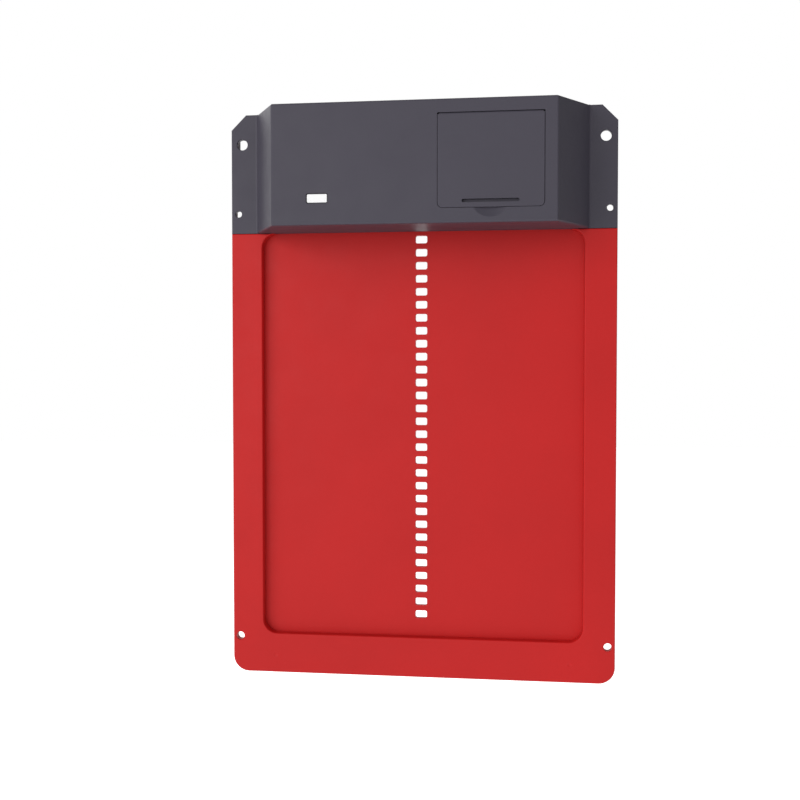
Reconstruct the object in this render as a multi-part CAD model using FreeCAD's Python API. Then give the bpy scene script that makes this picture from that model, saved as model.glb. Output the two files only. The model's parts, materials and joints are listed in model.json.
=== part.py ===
"""Automatic sliding door for a small poultry house, with its battery-powered drive head.

Axes: +X to the right seen from the front, +Y into the wall, +Z up. The wall plane is Y = 0,
the bottom edge of the frame is Z = 0 and X = 0 is the centre line. Millimetres.
"""
import FreeCAD, Part
import math
import os

V = FreeCAD.Vector

# ---- overall sizes
WIDTH = 240.0
FRAME_DEPTH = 12.0
SEAM_Z = 278.5
HEAD_TOP_Z = 352.8
EAR_CHAMFER = 9.4
HEAD_REACH = 42.7
FRONT_Y = -FRAME_DEPTH
HEAD_FRONT_Y = FRONT_Y - HEAD_REACH
WALL_Y = 0.0

# ---- fits and common thicknesses
SLIP = 0.02
RUN = 0.04
SEAM_GAP = 0.1
SKIN = 3.0
RIM = 2.5
BACK_Y = FRONT_Y + SKIN
EDGE_R = 0.7
HOLE_BEVEL = 0.4
RELIEF_Y = FRONT_Y + 5.0
RELIEF_GROW = 1.7
BRIDGE_RELIEF_GROW = 2.7

# ---- red frame
FRAME_CORNER_R = 10.0
OPENING_HALF = 100.5
OPENING_BOTTOM_Z = 24.85
OPENING_R = 9.0
FLANGE = 2.5
FLANGE_BACK_Y = BACK_Y + 2.5
ARM_X0 = 104.0
ARM_X1 = 117.2
ARM_Y0 = BACK_Y + 0.2
ARM_Y1 = BACK_Y + 2.6
ARM_LOW_Z = 266.0
ARM_TOP_Z = 349.9
ARM_CHAMFER = 7.6
MOUNT_BOSS_R = 4.0
SILL_TOP_Z = 13.6

# ---- mounting holes: X, Z, radius
TOP_HOLE = (112.9, 334.2, 3.3)
MIDDLE_HOLE = (115.5, 290.8, 2.0)
BOTTOM_HOLE = (115.5, 22.7, 2.5)

# ---- door panel and its guides
PANEL_HALF = 108.0
PANEL_BOTTOM_Z = 14.0
PANEL_TOP_Z = 337.5
PANEL_Y0 = -6.0
PANEL_Y1 = -3.0
SLOT_WIDTH = 7.36
SLOT_HEIGHT = 4.75
SLOT_R = 1.2
SLOT_PITCH = 8.12
SLOT_COUNT = 37
FIRST_SLOT_Z = 38.42
GUIDE_Y = -2.5
GUIDE_X0 = 101.0
GUIDE_WALL_X0 = 108.6
GUIDE_WALL_X1 = 110.8
GUIDE_WALL_Y = -6.1
RAIL_BOTTOM_Z = 11.0
RAIL_TOP_Z = 316.7
BRIDGE_BOTTOM_Z = 317.0
RAIL_SCREW_X = 114.15
RAIL_SCREW_Z = (32.0, 92.0, 152.0, 212.0, 270.0, 309.0)
BRIDGE_SCREWS = ((114.15, 322.0), (112.4, 343.3))
FRAME_SCREW_Z = (284.0, 299.0)

# ---- grey head
HEAD_WALL = 2.8
HEAD_SIDE_WALL = 2.6
HEAD_EDGE_R = 1.2
COVE_R = 2.0
HEAD_BASE_HALF = 103.2
HEAD_FRONT_HALF = 83.7
HEAD_FRONT_BOTTOM_Z = 277.5
HEAD_FRONT_TOP_Z = 348.9
INNER_Y = HEAD_FRONT_Y + HEAD_WALL
POSTS = ((90.0, 287.0), (90.0, 342.0))
POST_R = 3.5
PLATE_HALF = 103.6
PLATE_Y1 = BACK_Y + 2.2

# ---- battery compartment
COVER_X0, COVER_X1 = 14.65, 76.1
COVER_Z0, COVER_Z1 = 286.4, 340.9
COVER_R = 2.8
COVER_TOP_R = 2.2
COVER_MOUTH_TOP_R = 0.6
COVER_THICK = 2.4
COVER_GAP = 0.25
COVER_TOP_GAP = 0.12
COVER_EDGE_R = 0.3
COVER_NOSE_R = COVER_THICK / 2
PIVOT_Y = HEAD_FRONT_Y + COVER_NOSE_R
PIVOT_Z = COVER_Z1 - COVER_NOSE_R
PIVOT_R = 0.6
SLIT_X0, SLIT_X1 = 28.6, 61.8
SLIT_Z0, SLIT_Z1 = 289.2, 291.2
SLIT_DEPTH = 2.8
SCOOP_HALF_CHORD = 11.43
SCOOP_DEPTH = 2.4
SCOOP_X = 45.15
SCOOP_LOW_Z = 280.6
TRAY_X0, TRAY_X1 = 14.9, 76.1
TRAY_Z0, TRAY_Z1 = 284.6, 343.0
TRAY_WALL = 1.5
TRAY_BACK_Y = -34.2
TRAY_SCREWS = ((12.6, 300.0), (12.6, 328.0), (78.2, 300.0), (78.2, 328.0))
CELL_R = 7.1
CELL_BODY = 49.2
CELL_NUB = 1.0
CELL_PITCH = 14.4
CELL_Y = -43.0
CONTACT = 0.4
SPRING_ROOM = 4.1

# ---- light window and circuit board
WINDOW_X0, WINDOW_X1 = -62.3, -50.3
WINDOW_Z0, WINDOW_Z1 = 290.7, 295.7
WINDOW_GROOVE = 0.55
WINDOW_GROOVE_DEPTH = 1.6
WINDOW_FIT = 0.03
WINDOW_RECESS = 0.3
BOARD_X0, BOARD_X1 = -79.0, -34.0
BOARD_Z0, BOARD_Z1 = 285.5, 342.5
BOARD_Y0, BOARD_Y1 = -46.0, -44.4
BOARD_HOLES = ((-76.0, 288.5), (-37.0, 288.5), (-76.0, 339.5), (-37.0, 339.5))

# ---- drive: gear centres are (Y, Z) pairs, all axes run along X
MODULE = 0.6
PRESSURE_ANGLE = math.radians(25.0)
ADDENDUM = 0.8 * MODULE
DEDENDUM = 1.05 * MODULE
BACKLASH = 0.07
PINION_TEETH = 9
WHEEL_TEETH = 36
OUTPUT_TEETH = 28
SPROCKET_TEETH = 12
SPROCKET_ROOT_R = 13.4
SPROCKET_TIP_R = 16.7
SPROCKET_HALF = 2.8
SPROCKET_PITCH_R = SLOT_PITCH * SPROCKET_TEETH / (2 * math.pi)
SHAFT = ((PANEL_Y0 + PANEL_Y1) / 2 - SPROCKET_PITCH_R, FIRST_SLOT_Z + 34 * SLOT_PITCH)
SHAFT_R = 2.5
AXLE_R = 1.0
MOTOR = (-22.3, 294.5)
MOTOR_R = 12.0
MOTOR_X0, MOTOR_X1 = -56.0, -28.0
WHEEL_TO_PINION = MODULE * (WHEEL_TEETH + PINION_TEETH) / 2
OUTPUT_TO_PINION = MODULE * (OUTPUT_TEETH + PINION_TEETH) / 2
GEAR_1_DIRECTION = math.radians(150.0)
PLANE_A = (-25.2, -22.2)
PLANE_B = (-21.2, -18.2)
PLANE_C = (-17.2, -13.2)
CASE_X0, CASE_X1 = -28.0, -12.0
CASE_Y0, CASE_Y1 = -48.0, -9.2
CASE_Z0, CASE_Z1 = 286.9, 329.1
CASE_WALL = 1.6
CASE_SIDE = 1.8
LID_X1 = -10.2
CASE_SCREWS = ((-44.0, 290.9), (-13.2, 290.9), (-44.0, 325.1), (-13.2, 325.1))
MOTOR_SCREW_RING = 8.0
MOTOR_SCREW_ANGLES = (math.radians(180.0), math.radians(60.0))
DRIVE_SCREWS = ((-20.0, 332.0), (-20.0, 284.8))


# ---- shape helpers
def box(x0, x1, y0, y1, z0, z1):
    return Part.makeBox(x1 - x0, y1 - y0, z1 - z0, V(x0, y0, z0))


def rod_x(x0, x1, centre, r):
    return Part.makeCylinder(r, x1 - x0, V(x0, centre[0], centre[1]), V(1, 0, 0))


def rod_y(x, z, y0, y1, r):
    return Part.makeCylinder(r, y1 - y0, V(x, y0, z), V(0, 1, 0))


def rod_z(x, y, z0, z1, r):
    return Part.makeCylinder(r, z1 - z0, V(x, y, z0), V(0, 0, 1))


def edges_along(shape, direction):
    """Straight edges of a shape that run along a direction."""
    found = []
    for edge in shape.Edges:
        ends = [v.Point for v in edge.Vertexes]
        if len(ends) == 2 and (ends[1] - ends[0]).normalize().cross(direction).Length < 1e-6:
            found.append(edge)
    return found


def edges_in_plane(shape, y):
    """Edges of a shape that lie flat in the plane at depth y."""
    return [e for e in shape.Edges if y - 1e-4 < e.BoundBox.YMin and e.BoundBox.YMax < y + 1e-4]


def slab(x0, x1, z0, z1, r, y0, y1):
    """Rounded rectangle in the XZ plane, from y0 to y1."""
    block = box(x0, x1, y0, y1, z0, z1)
    return block.makeFillet(r, edges_along(block, V(0, 1, 0)))


def prism_y(points, y0, y1):
    """Polygon of (x, z) points, from y0 to y1."""
    loop = [V(x, y0, z) for x, z in points]
    return Part.Face(Part.makePolygon(loop + loop[:1])).extrude(V(0, y1 - y0, 0))


def prism_x(points, x0, x1):
    """Polygon of (y, z) points, from x0 to x1."""
    loop = [V(x0, y, z) for y, z in points]
    return Part.Face(Part.makePolygon(loop + loop[:1])).extrude(V(x1 - x0, 0, 0))


def join(*shapes):
    return shapes[0].multiFuse(list(shapes[1:])).removeSplitter()


def carve(shape, *tools):
    return shape.cut(list(tools))


def both_sides(shape):
    """A shape and its mirror image about the centre plane."""
    return [shape, shape.mirror(V(0, 0, 0), V(1, 0, 0))]


def save(name, *pieces):
    solids = [solid for piece in pieces for solid in piece.Solids]
    shape = solids[0] if len(solids) == 1 else Part.makeCompound(solids)
    for solid in solids:
        if not solid.isValid() or solid.Volume < 0.01:
            print("check", name, solid.isValid(), round(solid.Volume, 4))
    shape.exportStep(os.path.join("parts", name + ".step"))


# ---- mounting holes on the +X side
def mount_hole(x, z, r):
    """Through hole with a bevelled mouth at the front face."""
    mouth = Part.makeCone(r + HOLE_BEVEL, r, HOLE_BEVEL, V(x, FRONT_Y, z), V(0, 1, 0))
    return [rod_y(x, z, FRONT_Y - 1, RELIEF_Y + 1, r), mouth]


def side_relief(x, z, r, y0):
    """Pocket behind a mounting hole, open to the outer side."""
    wide = r + RELIEF_GROW
    return [rod_y(x, z, y0, 1, wide), box(x, WIDTH / 2 + 1, y0, 1, z - wide, z + wide)]


# ---- screws, all put in from the wall side and pointing to -Y
def cross_recess(x, z, y, size, depth):
    arm = size * 0.3
    return [box(x - size, x + size, y - depth, y + 1, z - arm / 2, z + arm / 2),
            box(x - arm / 2, x + arm / 2, y - depth, y + 1, z - size, z + size)]


def pan_screw(x, z, seat_y, shank, r, head_r, head_h):
    head = rod_y(x, z, seat_y, seat_y + head_h, head_r)
    rims = [e for e in head.Edges if abs(e.BoundBox.YMin - seat_y - head_h) < 1e-6]
    head = head.makeFillet(head_h * 0.45, rims[:1])
    screw = join(head, rod_y(x, z, seat_y - shank, seat_y, r))
    return carve(screw, *cross_recess(x, z, seat_y + head_h, head_r * 0.6, head_h * 0.5))


def flat_screw(x, z, face_y, shank, r, head_r):
    depth = head_r - r
    head = Part.makeCone(r, head_r, depth, V(x, face_y - depth, z), V(0, 1, 0))
    screw = join(head, rod_y(x, z, face_y - shank, face_y - depth, r))
    return carve(screw, *cross_recess(x, z, face_y, head_r * 0.55, depth * 0.6))


def flat_seat(x, z, face_y, shank, r, head_r):
    """Countersunk clearance hole for a flat_screw."""
    depth = head_r - r
    cone = Part.makeCone(r + 0.15, head_r + 0.15, depth, V(x, face_y - depth, z), V(0, 1, 0))
    return [cone, rod_y(x, z, face_y - shank, face_y - depth, r + 0.15)]


# ---- red frame, rails and bridge
def frame_blank(inset, y0, y1):
    """Outline of the frame below the seam, with rounded bottom corners."""
    top = SEAM_Z - SEAM_GAP
    half = WIDTH / 2 - inset
    whole = slab(-half, half, inset, top + 30, FRAME_CORNER_R - inset, y0, y1)
    return carve(whole, box(-WIDTH, WIDTH, y0 - 1, y1 + 1, top, top + 40))


def opening_blank(grow, y0, y1):
    half = OPENING_HALF + grow
    return slab(-half, half, OPENING_BOTTOM_Z - grow, SEAM_Z + grow, OPENING_R + grow, y0, y1)


def ear_arm():
    """Arm that runs up behind the grey ear, on the +X side."""
    outline = ((ARM_X0, ARM_LOW_Z), (ARM_X1, ARM_LOW_Z), (ARM_X1, ARM_TOP_Z - ARM_CHAMFER),
               (ARM_X1 - ARM_CHAMFER, ARM_TOP_Z), (ARM_X0, ARM_TOP_Z))
    arm = prism_y(outline, ARM_Y0, ARM_Y1)
    root = box(ARM_X0, ARM_X1, BACK_Y, ARM_Y0, ARM_LOW_Z, SEAM_Z - SEAM_GAP)
    return join(arm, root)


def front_frame():
    above = box(-WIDTH, WIDTH, FRONT_Y - 1, 1, SEAM_Z - SEAM_GAP, SEAM_Z + 60)
    skin = carve(frame_blank(0, FRONT_Y, BACK_Y), opening_blank(0, FRONT_Y - 1, BACK_Y + 1))
    skin = skin.makeFillet(EDGE_R, edges_in_plane(skin, FRONT_Y))
    rim = carve(frame_blank(0, BACK_Y, WALL_Y), frame_blank(RIM, BACK_Y, WALL_Y))
    flange = carve(opening_blank(FLANGE, BACK_Y, FLANGE_BACK_Y), above)
    sill = box(-PANEL_HALF + 0.5, PANEL_HALF - 0.5, BACK_Y, PANEL_Y1 + 0.2,
               SILL_TOP_Z - 3, SILL_TOP_Z)
    ribs = [box(x - 0.9, x + 0.9, BACK_Y, PANEL_Y1, RIM, SILL_TOP_Z - 3)
            for x in range(-80, 81, 40)]
    sides = []
    holes = [opening_blank(0, FRONT_Y - 1, 1)]
    boss_r = 2.6
    for x, z in [(RAIL_SCREW_X, z) for z in RAIL_SCREW_Z] + list(BRIDGE_SCREWS):
        start = BACK_Y if z < SEAM_Z else ARM_Y1 - 0.4
        r = boss_r if x == RAIL_SCREW_X else 2.4
        sides.append(rod_y(x, z, start, GUIDE_Y, r))
        holes += both_sides(rod_y(x, z, GUIDE_Y - 4.9, GUIDE_Y + 1, 1.0 + SLIP))
    x, z, r = BOTTOM_HOLE
    sides.append(rod_y(x, z, BACK_Y, RELIEF_Y, MOUNT_BOSS_R))
    sides.append(ear_arm())
    for x, z, r in (TOP_HOLE, MIDDLE_HOLE):
        for tool in side_relief(x, z, r, BACK_Y):
            holes += both_sides(tool)
    for tool in mount_hole(*BOTTOM_HOLE) + side_relief(*BOTTOM_HOLE, RELIEF_Y):
        holes += both_sides(tool)
    for z in FRAME_SCREW_Z:
        holes += both_sides(rod_y(RAIL_SCREW_X, z, ARM_Y0 - 1, ARM_Y1 + 1, 1.0))
    dimple_r, dimple_depth = 4.0, 0.25
    dimple = Part.makeSphere(dimple_r, V(92.5, FRONT_Y + dimple_depth - dimple_r, 11.0))
    holes += both_sides(dimple)
    wings = [half for side in sides for half in both_sides(side)]
    save("front_frame", carve(join(skin, rim, flange, sill, *ribs, *wings), *holes))


def rail(side):
    strip = box(GUIDE_X0, ARM_X1, GUIDE_Y, WALL_Y, RAIL_BOTTOM_Z, RAIL_TOP_Z)
    wall = box(GUIDE_WALL_X0, GUIDE_WALL_X1, GUIDE_WALL_Y, GUIDE_Y, RAIL_BOTTOM_Z, RAIL_TOP_Z)
    cuts = []
    for z in RAIL_SCREW_Z:
        cuts += [rod_y(RAIL_SCREW_X, z, GUIDE_Y - 1, 1, 1.2), rod_y(RAIL_SCREW_X, z, -1.4, 1, 2.2)]
    cuts.append(rod_y(MIDDLE_HOLE[0], MIDDLE_HOLE[1], GUIDE_Y - 1, 1, 4.2))
    cuts.append(rod_y(BOTTOM_HOLE[0], BOTTOM_HOLE[1], GUIDE_Y - 1, 1, 4.6))
    shape = carve(join(strip, wall), *cuts)
    return both_sides(shape)[0 if side > 0 else 1]


def rear_bridge():
    top = ARM_TOP_Z
    plate = prism_y(((-ARM_X1, BRIDGE_BOTTOM_Z), (ARM_X1, BRIDGE_BOTTOM_Z),
                     (ARM_X1, top - ARM_CHAMFER), (ARM_X1 - ARM_CHAMFER, top),
                     (-ARM_X1 + ARM_CHAMFER, top), (-ARM_X1, top - ARM_CHAMFER)),
                    GUIDE_Y, WALL_Y)
    lip = box(-108.7, 108.7, GUIDE_Y, WALL_Y, top, HEAD_TOP_Z)
    walls = both_sides(box(GUIDE_WALL_X0, GUIDE_WALL_X1, GUIDE_WALL_Y, GUIDE_Y,
                           BRIDGE_BOTTOM_Z, 329.0))
    x, z, r = TOP_HOLE
    wide = r + BRIDGE_RELIEF_GROW
    cuts = both_sides(rod_y(x, z, GUIDE_WALL_Y - 1, 1, wide))
    cuts += both_sides(box(x, WIDTH / 2 + 1, GUIDE_Y - 1, 1, z - wide, z + wide))
    for x, z in BRIDGE_SCREWS:
        cuts += both_sides(rod_y(x, z, GUIDE_Y - 1, 1, 1.2))
        cuts += both_sides(rod_y(x, z, -1.4, 1, 2.2))
    save("rear_bridge", carve(join(plate, lip, *walls), *cuts))


def frame_fasteners():
    rail_set, bridge_set, frame_set = [], [], []
    for z in RAIL_SCREW_Z:
        rail_set += both_sides(pan_screw(RAIL_SCREW_X, z, -1.4, 5.6, 1.0, 1.9, 1.2))
    for x, z in BRIDGE_SCREWS:
        bridge_set += both_sides(pan_screw(x, z, -1.4, 5.6, 1.0, 1.9, 1.2))
    for z in FRAME_SCREW_Z:
        frame_set += both_sides(pan_screw(RAIL_SCREW_X, z, ARM_Y1, 4.6, 0.8, 1.9, 1.2))
    save("rail_screws", *rail_set)
    save("bridge_screws", *bridge_set)
    save("frame_screws", *frame_set)


def door_panel():
    plate = slab(-PANEL_HALF, PANEL_HALF, PANEL_BOTTOM_Z, PANEL_TOP_Z, 2.0, PANEL_Y0, PANEL_Y1)
    half_w, half_h = SLOT_WIDTH / 2, SLOT_HEIGHT / 2
    slots = []
    for i in range(SLOT_COUNT):
        z = FIRST_SLOT_Z + i * SLOT_PITCH
        slots.append(slab(-half_w, half_w, z - half_h, z + half_h, SLOT_R,
                          PANEL_Y0 - 1, PANEL_Y1 + 1))
    save("door_panel", carve(plate, *slots))


# ---- grey head
def taper(y, at_front, at_base):
    share = (y - HEAD_FRONT_Y) / HEAD_REACH
    return at_front + share * (at_base - at_front)


def head_block(inset, y0, y1):
    """Tapered box of the head between two depths, with its walls moved in by inset."""
    wires = []
    for y in (y0, y1):
        half = taper(y, HEAD_FRONT_HALF, HEAD_BASE_HALF) - inset
        low = taper(y, HEAD_FRONT_BOTTOM_Z, SEAM_Z) + inset
        high = taper(y, HEAD_FRONT_TOP_Z, HEAD_TOP_Z) - inset
        loop = [V(-half, y, low), V(half, y, low), V(half, y, high), V(-half, y, high)]
        wires.append(Part.makePolygon(loop + loop[:1]))
    return Part.makeLoft(wires, True, True)


def ear_outline(inset, low_z):
    half, top = WIDTH / 2 - inset, HEAD_TOP_Z - inset
    step = EAR_CHAMFER - inset * 0.586
    return ((-half, low_z), (half, low_z), (half, top - step), (half - step, top),
            (-half + step, top), (-half, top - step))


def cove():
    """Concave fillet between the ear and the sloping side, on the +X side."""
    run = V(HEAD_FRONT_HALF - HEAD_BASE_HALF, -HEAD_REACH, 0).normalize()
    half_angle = math.acos(run.x) / 2
    reach = COVE_R / math.tan(half_angle)
    corner = V(HEAD_BASE_HALF, FRONT_Y, 0)
    on_slope, on_ear = corner + run * reach, corner + V(reach, 0, 0)
    outward = (run + V(1, 0, 0)).normalize()
    middle = corner + outward * (COVE_R / math.sin(half_angle) - COVE_R)
    inside = corner - outward * 0.5
    sides = [Part.makeLine(on_ear, inside), Part.makeLine(inside, on_slope)]
    wire = Part.Wire([Part.Arc(on_slope, middle, on_ear).toShape()] + sides)
    strip = Part.Face(wire).extrude(V(0, 0, HEAD_TOP_Z))
    low, high = 0.3, -0.6
    cheeks = prism_x(((FRONT_Y + 1, SEAM_Z + low), (FRONT_Y, SEAM_Z + low),
                      (HEAD_FRONT_Y, HEAD_FRONT_BOTTOM_Z + low), (HEAD_FRONT_Y, HEAD_FRONT_TOP_Z + high),
                      (FRONT_Y, HEAD_TOP_Z + high), (FRONT_Y + 1, HEAD_TOP_Z + high)), 0, WIDTH)
    return strip.common(cheeks)


def ear_flange():
    """Plate of the two ears; only its free front edges are rounded."""
    plate = prism_y(ear_outline(0, SEAM_Z), FRONT_Y, BACK_Y)
    free = [e for e in edges_in_plane(plate, FRONT_Y) if e.BoundBox.ZMax > SEAM_Z + 1]
    plate = plate.makeFillet(EDGE_R, free)
    middle = box(-HEAD_BASE_HALF, HEAD_BASE_HALF, FRONT_Y, BACK_Y, SEAM_Z, HEAD_TOP_Z)
    return join(plate, middle)


def head_shell():
    outer = head_block(0, HEAD_FRONT_Y, FRONT_Y)
    free = [e for e in outer.Edges if e.BoundBox.YMin < FRONT_Y - 1]
    outer = join(outer.makeFillet(HEAD_EDGE_R, free), *both_sides(cove()))
    flange = ear_flange()
    rim = carve(prism_y(ear_outline(0, SEAM_Z), BACK_Y, WALL_Y),
                prism_y(ear_outline(RIM, SEAM_Z - 5), BACK_Y, WALL_Y))
    hollow = head_block(HEAD_SIDE_WALL, INNER_Y, BACK_Y + 0.1)
    body = carve(join(outer, flange, rim), hollow)
    solid_envelope = join(outer, flange)
    posts = []
    for x, z in POSTS:
        posts += both_sides(rod_y(x, z, HEAD_FRONT_Y, BACK_Y, POST_R))
    posts = [post.common(solid_envelope) for post in posts]
    standoffs = [rod_y(x, z, INNER_Y - 0.5, BOARD_Y0, 2.5) for x, z in BOARD_HOLES]
    body = join(body, *posts, *standoffs)

    cuts = [box(-109, 109, PLATE_Y1, 1, ARM_TOP_Z - 1, HEAD_TOP_Z + 1)]
    cuts.append(cover_blank(COVER_GAP, COVER_TOP_GAP, COVER_MOUTH_TOP_R,
                            HEAD_FRONT_Y - 1, INNER_Y + 0.5))
    cuts.append(rod_x(COVER_X0 - 2.0, COVER_X1 + 2.0, (PIVOT_Y, PIVOT_Z), PIVOT_R + 0.05))
    ball = (SCOOP_HALF_CHORD ** 2 + SCOOP_DEPTH ** 2) / (2 * SCOOP_DEPTH)
    cuts.append(Part.makeSphere(ball, V(SCOOP_X, HEAD_FRONT_Y + SCOOP_DEPTH - ball,
                                        SCOOP_LOW_Z + SCOOP_HALF_CHORD)))
    cuts.append(window_blank(WINDOW_GROOVE, HEAD_FRONT_Y - 1, HEAD_FRONT_Y + WINDOW_GROOVE_DEPTH))
    cuts.append(window_blank(WINDOW_FIT, HEAD_FRONT_Y - 1, INNER_Y + 0.5))
    for tool in mount_hole(*TOP_HOLE) + mount_hole(*MIDDLE_HOLE):
        cuts += both_sides(tool)
    for tool in side_relief(*MIDDLE_HOLE, RELIEF_Y):
        cuts += both_sides(tool)
    for z in FRAME_SCREW_Z:
        cuts += both_sides(rod_y(RAIL_SCREW_X, z, BACK_Y - 2.2, BACK_Y + 0.1, 0.8 + SLIP))
    for x, z in POSTS:
        cuts += both_sides(rod_y(x, z, BACK_Y - 12, BACK_Y + 0.1, 1.25 + SLIP))
    for x, z in BOARD_HOLES:
        cuts.append(rod_y(x, z, BOARD_Y0 - 5, BOARD_Y0 + 0.1, 0.8 + SLIP))
    for x, z in TRAY_SCREWS:
        cuts.append(rod_y(x, z, INNER_Y - 2.0, INNER_Y + 0.1, 0.8 + SLIP))
    save("head_shell", carve(body, *cuts))


def head_back_plate():
    y, z = SHAFT
    plate = box(-PLATE_HALF, PLATE_HALF, BACK_Y, PLATE_Y1, SEAM_Z + 0.4, ARM_TOP_Z)
    lug = join(box(6, 9, y, BACK_Y, z - 7, z + 7), rod_x(6, 9, SHAFT, 7.0))
    ribs = [box(14, 84, BACK_Y - 2, BACK_Y, rib_z, rib_z + 1.6) for rib_z in (303.0, 326.0)]
    reach = 13.8
    cuts = [box(-4.2, 4.2, BACK_Y - 1, PLATE_Y1 + 1, z - reach, z + reach)]
    cuts.append(rod_x(5, 10, SHAFT, 3.5 + SLIP))
    for x, z in POSTS:
        for side in (-1, 1):
            cuts += flat_seat(side * x, z, PLATE_Y1, 4, 1.25, 2.7)
    for x, z in DRIVE_SCREWS:
        cuts += flat_seat(x, z, PLATE_Y1, 4, 0.9, 2.0)
    save("head_back_plate", carve(join(plate, lug, *ribs), *cuts))
    head_set = []
    for x, z in POSTS:
        head_set += [flat_screw(side * x, z, PLATE_Y1 - 0.1, 13.0, 1.25, 2.7) for side in (-1, 1)]
    save("head_screws", *head_set)
    save("drive_screws", *[flat_screw(x, z, PLATE_Y1 - 0.1, 7.0, 0.9, 2.0) for x, z in DRIVE_SCREWS])


# ---- battery compartment
def cover_blank(grow, top_grow, top_r, y0, y1):
    """Outline of the battery cover; its pivot edge has tighter corners, so that it can swing."""
    block = box(COVER_X0 - grow, COVER_X1 + grow, y0, y1, COVER_Z0 - grow, COVER_Z1 + top_grow)
    low = [e for e in edges_along(block, V(0, 1, 0)) if e.BoundBox.ZMax < PIVOT_Z - 5]
    block = block.makeFillet(COVER_R + grow, low)
    high = [e for e in edges_along(block, V(0, 1, 0)) if e.BoundBox.ZMin > PIVOT_Z - 5]
    return block.makeFillet(top_r, high)


def battery_cover():
    plate = cover_blank(0, 0, COVER_TOP_R, HEAD_FRONT_Y, HEAD_FRONT_Y + COVER_THICK)
    nose = join(box(COVER_X0, COVER_X1, HEAD_FRONT_Y, HEAD_FRONT_Y + COVER_THICK,
                    COVER_Z0, PIVOT_Z),
                rod_x(COVER_X0, COVER_X1, (PIVOT_Y, PIVOT_Z), COVER_NOSE_R))
    plate = plate.common(nose)
    rim = [e for e in edges_in_plane(plate, HEAD_FRONT_Y) if e.BoundBox.ZMin < PIVOT_Z - 1]
    plate = plate.makeFillet(COVER_EDGE_R, rim)
    stubs = rod_x(COVER_X0 - 1.8, COVER_X1 + 1.8, (PIVOT_Y, PIVOT_Z), PIVOT_R)
    inner_y = HEAD_FRONT_Y + COVER_THICK
    ribs = [box(21, 70, inner_y, inner_y + 1.4, z, z + 1.2) for z in (303.0, 324.0)]
    ribs.append(box(SLIT_X0 - 1.2, SLIT_X1 + 1.2, inner_y, inner_y + 1.4,
                    SLIT_Z0 - 0.9, SLIT_Z1 + 1.2))
    catch = rod_x(SCOOP_X - 8, SCOOP_X + 8, (HEAD_FRONT_Y + 1.7, COVER_Z0 + 0.12), 0.3)
    slit = slab(SLIT_X0, SLIT_X1, SLIT_Z0, SLIT_Z1, 0.95, HEAD_FRONT_Y - 1,
                HEAD_FRONT_Y + SLIT_DEPTH)
    save("battery_cover", carve(join(plate, stubs, catch, *ribs), slit))


def gasket_ring(grow, y0, y1):
    inset, width = 0.25, 1.0
    outer = slab(COVER_X0 + inset - grow, COVER_X1 - inset + grow, COVER_Z0 + inset - grow,
                 COVER_Z1 - inset + grow, COVER_R - inset + grow, y0, y1)
    inset += width
    inner = slab(COVER_X0 + inset + grow, COVER_X1 - inset - grow, COVER_Z0 + inset + grow,
                 COVER_Z1 - inset - grow, COVER_R - inset - grow, y0, y1)
    return carve(outer, inner)


def cell_x(index):
    return (TRAY_X0 + TRAY_X1) / 2 - 0.1 + (index - 1.5) * CELL_PITCH


def battery_tray():
    flange_y1 = INNER_Y + 1.5
    wall = TRAY_WALL
    flange = slab(10.6, 80.2, 282.0, 345.0, 3.0, INNER_Y, flange_y1)
    tub = box(TRAY_X0, TRAY_X1, flange_y1, TRAY_BACK_Y, TRAY_Z0, TRAY_Z1)
    hollow = box(TRAY_X0 + wall, TRAY_X1 - wall, flange_y1, TRAY_BACK_Y - wall,
                 TRAY_Z0 + wall, TRAY_Z1 - wall)
    mouth = slab(16.4, 74.4, 288.2, 339.1, 1.5, INNER_Y - 1, flange_y1 + 0.1)
    cuts = [hollow, mouth, gasket_ring(0.05, INNER_Y - 1, INNER_Y + 0.7)]
    for index in (0, 3):
        x = cell_x(index)
        cuts.append(box(x - 1.5, x + 1.5, TRAY_BACK_Y - wall - 0.1, TRAY_BACK_Y + 0.1,
                        TRAY_Z1 - wall - 0.6, TRAY_Z1 - wall))
    for x, z in TRAY_SCREWS:
        cuts.append(rod_y(x, z, INNER_Y - 1, flange_y1 + 1, 1.0))
    body = carve(join(flange, tub), *cuts)
    back_y = TRAY_BACK_Y - wall
    fins = [box(cell_x(i) + CELL_PITCH / 2 - 0.4, cell_x(i) + CELL_PITCH / 2 + 0.4,
                back_y - 3, back_y, 292, 336) for i in range(3)]
    save("battery_tray", join(body, *fins))
    save("tray_screws", *[pan_screw(x, z, flange_y1, 3.3, 0.8, 1.7, 1.1) for x, z in TRAY_SCREWS])
    save("cover_gasket", gasket_ring(0, INNER_Y - 0.35, INNER_Y + 0.7))


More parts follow.
